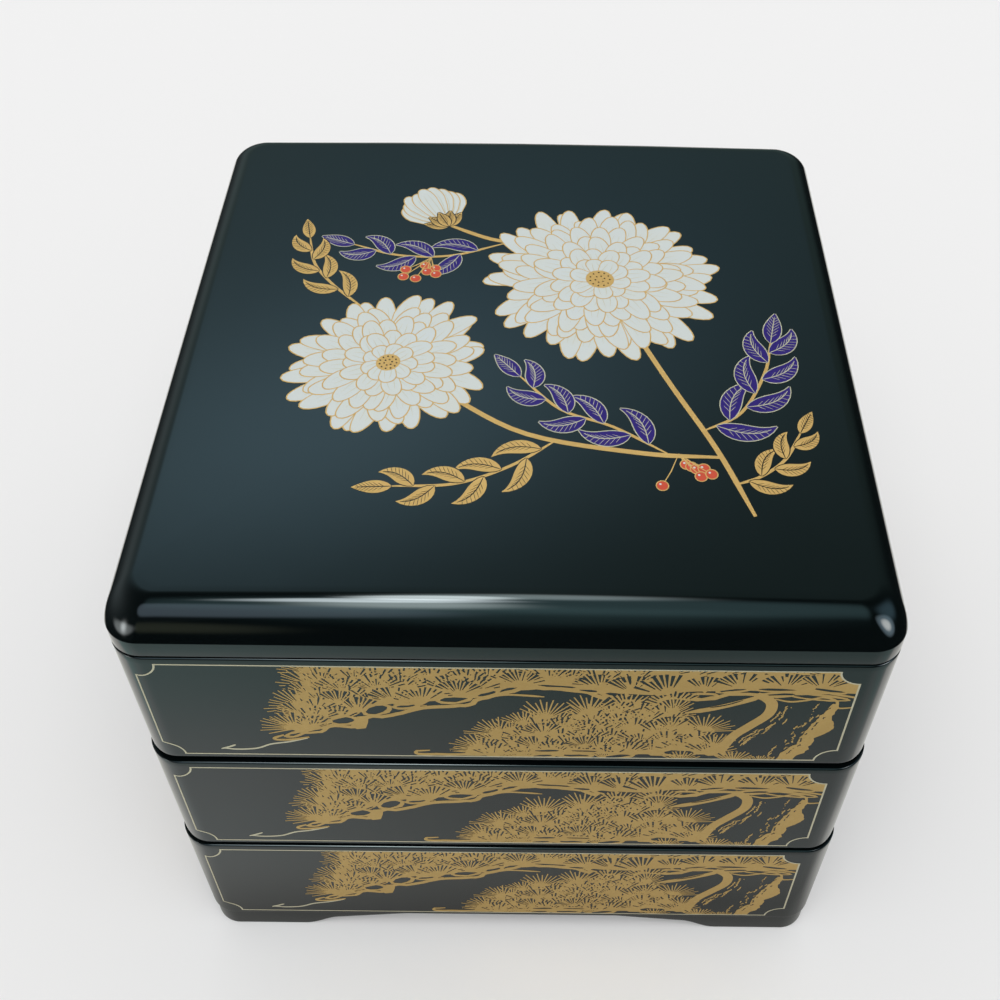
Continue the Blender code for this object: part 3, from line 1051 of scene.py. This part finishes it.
def print_all(inks):
    """Every print, one piece for each ink on each wall and on the lid."""
    pictures = [pine_front()] + [pine_side()] * 3
    for tier in TIERS:
        for side, (corners, regions) in enumerate(pictures):
            for ink, triangles in regions.items():
                name = f"{tier}_{SIDE_NAMES[side]}_{ink}"
                print_piece(name, corners, triangles, on_wall(RIMS[tier], side), *inks[ink])
    corners, regions = flower_print()
    for ink, triangles in regions.items():
        print_piece(f"lid_print_{ink}", corners, triangles, on_lid, *inks[ink])


# --- Materials ---


class Graph:
    """Short names for building a node tree."""

    def __init__(self, tree):
        self.tree = tree

    def link(self, source, target):
        """Feeds a socket from another socket, a number or a tuple."""
        if isinstance(source, bpy.types.NodeSocket):
            self.tree.links.new(source, target)
        elif isinstance(source, tuple) and target.type == "RGBA":
            target.default_value = (*source, 1.0)
        else:
            target.default_value = source

    def node(self, kind, *values, **settings):
        """A new shader node, with its first sockets fed."""
        node = self.tree.nodes.new(f"ShaderNode{kind}")
        for name, value in settings.items():
            setattr(node, name, value)
        for value, socket in zip(values, node.inputs):
            self.link(value, socket)
        return node

    def feed(self, node, sources):
        """Feeds a node's sockets by name, and gives its first output."""
        for name, source in sources.items():
            self.link(source, node.inputs[name])
        return node.outputs[0]

    def output(self, kind, socket):
        return self.node(kind).outputs[socket]

    def surface(self, shader, target="Material Output"):
        self.link(shader.outputs[0], self.tree.nodes[target].inputs["Surface"])

    def math(self, operation, *values):
        return self.node("Math", *values, operation=operation).outputs[0]

    def vector(self, operation, *values):
        node = self.node("VectorMath", *values, operation=operation)
        return node.outputs["Value" if operation == "DOT_PRODUCT" else "Vector"]

    def smooth(self, value, low, high, start, end):
        """A soft change from start to end while the value goes from low to high."""
        values = (value, low, high, start, end)
        return self.node("MapRange", *values, interpolation_type="SMOOTHSTEP").outputs[0]

    def blend(self, share, start, end):
        node = self.node("Mix", share, data_type="RGBA", clamp_factor=True)
        self.link(start, node.inputs[6])
        self.link(end, node.inputs[7])
        return node.outputs[2]

    def noise(self, scale, detail):
        node = self.node("TexNoise", self.output("TexCoord", "Object"))
        return self.feed(node, {"Scale": scale, "Detail": detail})

    def bump(self, height, distance):
        return self.feed(self.node("Bump"), {"Height": height, "Distance": distance})

    def lobe(self, direction, turn, lift, wide, high, crisp, color):
        """A glow in the sky. All angles are in degrees, and crisp sharpens the edge."""
        aim = over_the_top(radians(turn), radians(lift))
        if 0 <= lift <= 90:
            aim = Matrix.Rotation(radians(-turn), 4, "Z") @ Matrix.Rotation(radians(lift), 4, "X")
        squares = []
        for axis, size in (((1, 0, 0), wide), ((0, 0, 1), high)):
            off = self.vector("DOT_PRODUCT", direction, tuple(aim @ Vector(axis)))
            squares.append(self.math("POWER", self.math("DIVIDE", off, sin(radians(size))), 2.0))
        ahead = self.vector("DOT_PRODUCT", direction, tuple(aim @ Vector((0, 1, 0))))
        reach = self.math("POWER", self.math("ADD", *squares), crisp)
        level = self.math("EXPONENT", self.math("MULTIPLY", reach, -1.0))
        level = self.math("MULTIPLY", level, self.math("GREATER_THAN", ahead, 0.0))
        return self.feed(self.node("VectorMath", color, operation="SCALE"), {"Scale": level})


def over_the_top(turn, lift):
    """The way to something: lifted from the back over the top, then tipped towards +X."""
    return Matrix.Rotation(turn, 4, "Y") @ Matrix.Rotation(lift, 4, "X")


def new_material(name):
    material = bpy.data.materials.new(name)
    material.use_nodes = True
    return material, Graph(material.node_tree)


def principled(name, color, roughness, metallic=0.0):
    """A material, its graph and its shader."""
    material, graph = new_material(name)
    shader = graph.tree.nodes["Principled BSDF"]
    graph.feed(shader, {"Base Color": color, "Roughness": roughness, "Metallic": metallic})
    return material, graph, shader


def lacquer():
    """Deep black-green gloss lacquer: barely wavy, with a slightly uneven polish."""
    material, graph, shader = principled(LACQUER_SLOT, LACQUER_COLOR, LACQUER_ROUGHNESS)
    graph.feed(shader, {
        "Roughness": graph.smooth(graph.noise(*POLISH_NOISE), *NOISE_RANGE, *LACQUER_POLISH),
        "Base Color": graph.blend(graph.noise(*TONE_NOISE), *LACQUER_TONES),
        "Normal": graph.bump(graph.noise(*WAVE_NOISE), LACQUER_WAVE_HEIGHT),
    })
    return material


def ink(name, color, tint, roughness, metallic):
    """A printed ink: fine grain, and a slow drift of its colour towards a tint."""
    material, graph, shader = principled(name, color, roughness, metallic)
    grain = graph.noise(*GRAIN_NOISE)
    limits = (roughness - GRAIN_ROUGHNESS, roughness + GRAIN_ROUGHNESS)
    graph.feed(shader, {
        "Specular IOR Level": INK_GLOSS,
        "Base Color": graph.blend(graph.noise(*TINT_NOISE), color, tint),
        "Roughness": graph.smooth(grain, *NOISE_RANGE, *limits),
        "Normal": graph.bump(grain, GRAIN_HEIGHT),
    })
    return material


def make_inks():
    """Each ink's material and the slot it belongs to."""
    return {name: (ink(f"{name}_print", *look), slot) for name, (slot, *look) in INKS.items()}


# --- Camera and stage ---


def camera():
    """A camera above the front edge that looks down at the lid, a little turned and tipped."""
    data = bpy.data.cameras.new("camera")
    data.lens = 47.0
    data.sensor_width = 36.0
    data.shift_x = -0.045
    data.shift_y = -0.165
    data.clip_start = 0.01
    place = Matrix.Translation((0.0070, -0.2702, RIMS["top_tier"] + 0.2775))
    heading = Matrix.Rotation(-0.0064, 4, "Z")
    tilt = Matrix.Rotation(pi / 2 - 0.7691, 4, "X")
    roll = Matrix.Rotation(0.0171, 4, "Z")
    thing = add_to_scene("camera", data)
    thing.matrix_world = place @ heading @ tilt @ roll
    bpy.context.scene.camera = thing


def sheet(name, half_side, material):
    """A flat square, for the floor and the corner light."""
    mesh = bmesh.new()
    bmesh.ops.create_grid(mesh, x_segments=1, y_segments=1, size=half_side)
    thing = add_mesh(name, mesh)
    thing.data.materials.append(material)
    return thing


def floor():
    """A wide pale floor. Reflections see other tones, and further off no floor at all.

    Mirrored, it shows painted light and shade: a painted contact shadow under the box, painted
    shade to the right of the front, another tone beside the box than before it, and greener away
    from it.
    """
    material, graph, shader = principled("floor", FLOOR_COLOR, FLOOR_ROUGHNESS)
    graph.link(0.0, shader.inputs["Specular IOR Level"])
    place = graph.node("SeparateXYZ", graph.output("NewGeometry", "Position")).outputs
    sideways = graph.math("ABSOLUTE", place[0])
    ahead = graph.math("MULTIPLY", place[1], -1.0)
    beyond = graph.math("SUBTRACT", graph.math("MAXIMUM", sideways, ahead), HALF)
    # Painted shade for reflections: a contact shadow under the box and shade to the right of the
    # front
    under = graph.smooth(beyond, *PAINTED_CONTACT_SHADOW)
    right = graph.smooth(place[0], *PAINTED_SHADE_RIGHT)
    beside = graph.smooth(place[1], *BESIDE_START, 0.0, 1.0)
    away = graph.smooth(beyond, *AWAY_START, 0.0, 1.0)
    # Painted reflection tones: another tone beside the box, and greener away from it
    tone = graph.blend(away, MIRRORED_FLOOR_COLOR, MIRRORED_FAR_COLOR)
    tone = graph.blend(beside, tone, MIRRORED_SIDE_COLOR)
    level = graph.math("MULTIPLY", under, graph.math("MAXIMUM", right, beside))
    tone = graph.blend(level, BLACK, tone)
    mirrored = graph.output("LightPath", "Is Glossy Ray")
    graph.link(graph.blend(mirrored, FLOOR_COLOR, tone), shader.inputs["Base Color"])
    gone = graph.math("MULTIPLY", graph.smooth(beyond, *FLOOR_END, 0.0, 1.0), mirrored)
    nothing = graph.output("BsdfTransparent", "BSDF")
    graph.surface(graph.node("MixShader", gone, shader.outputs[0], nothing))
    sheet("floor", FLOOR_HALF_SIDE, material)


def world():
    """Soft studio surroundings: plain to the eye and for soft light, with glows for reflections."""
    sky = bpy.data.worlds.new("studio")
    sky.use_nodes = True
    bpy.context.scene.world = sky
    graph = Graph(sky.node_tree)
    direction = graph.output("TexCoord", "Generated")
    glow = DIM_GLOW
    for shape in LOBES:
        glow = graph.vector("ADD", glow, graph.lobe(direction, *shape))
    seen = graph.output("LightPath", "Is Camera Ray")
    plain = graph.blend(seen, SOFT_LIGHT_COLOR, BACKDROP_COLOR)
    mirrored = graph.output("LightPath", "Is Glossy Ray")
    lights = [graph.node("Background", color).outputs[0] for color in (plain, glow)]
    graph.surface(graph.node("MixShader", mirrored, *lights), "World Output")


def lamp():
    """A wide soft lamp that leans to the front, and that reflections leave out."""
    data = bpy.data.lights.new("lamp", "SUN")
    data.energy = 1.5
    data.angle = radians(50)
    thing = add_to_scene("lamp", data)
    thing.matrix_world = Matrix.Rotation(radians(22), 4, "X")
    thing.visible_glossy = False


def corner_light():
    """The highlight on the lid's front right corner: a bright core in a bluish patch.

    The light stands near, so that the rest of the lid mirrors little of it. Its edges are where it
    fades: squares of the distance from its middle, with its half size as 1.
    """
    corner = Matrix.Translation((HALF - 5.5 * MM, 4.5 * MM - HALF, LID_HIGH - 7.6 * MM))
    aim = over_the_top(radians(69), radians(125))
    away = Matrix.Translation((0.0, 0.07, 0.0))
    half_width, half_height = 0.044, 0.028
    core, core_edge = (8.5, 9.0, 9.0), (0.0, 0.32)
    patch, patch_edge = (1.6, 2.2, 2.6), (0.25, 1.0)

    material, graph = new_material("corner_light")
    place = graph.output("TexCoord", "Object")
    reach = graph.vector("DOT_PRODUCT", place, place)
    glow = graph.blend(graph.smooth(reach, *patch_edge, 1.0, 0.0), BLACK, patch)
    glow = graph.blend(graph.smooth(reach, *core_edge, 1.0, 0.0), glow, core)
    shine = graph.node("Emission", glow).outputs[0]
    nothing = graph.output("BsdfTransparent", "BSDF")
    graph.surface(graph.node("AddShader", shine, nothing))

    thing = sheet("corner_light", 1.0, material)
    face = Matrix.Rotation(pi / 2, 4, "X") @ Matrix.Diagonal((half_width, half_height, 1.0, 1.0))
    thing.matrix_world = corner @ aim @ away @ face
    for kind in ("camera", "diffuse", "transmission", "shadow"):
        setattr(thing, f"visible_{kind}", False)


def main():
    gloss = lacquer()
    for tier in TIERS:
        thing = loft(f"{tier}_lacquer", tray_rings(tier))
        if tier == "bottom_tier":
            join_solids(thing, foot_band("feet"))
        lacquered(thing, tier, gloss)
    lacquered(loft("lid_lacquer", lid_rings()), "lid", gloss)
    print_all(make_inks())
    camera()
    floor()
    world()
    lamp()
    corner_light()
    bpy.context.scene.view_settings.view_transform = "Standard"


main()
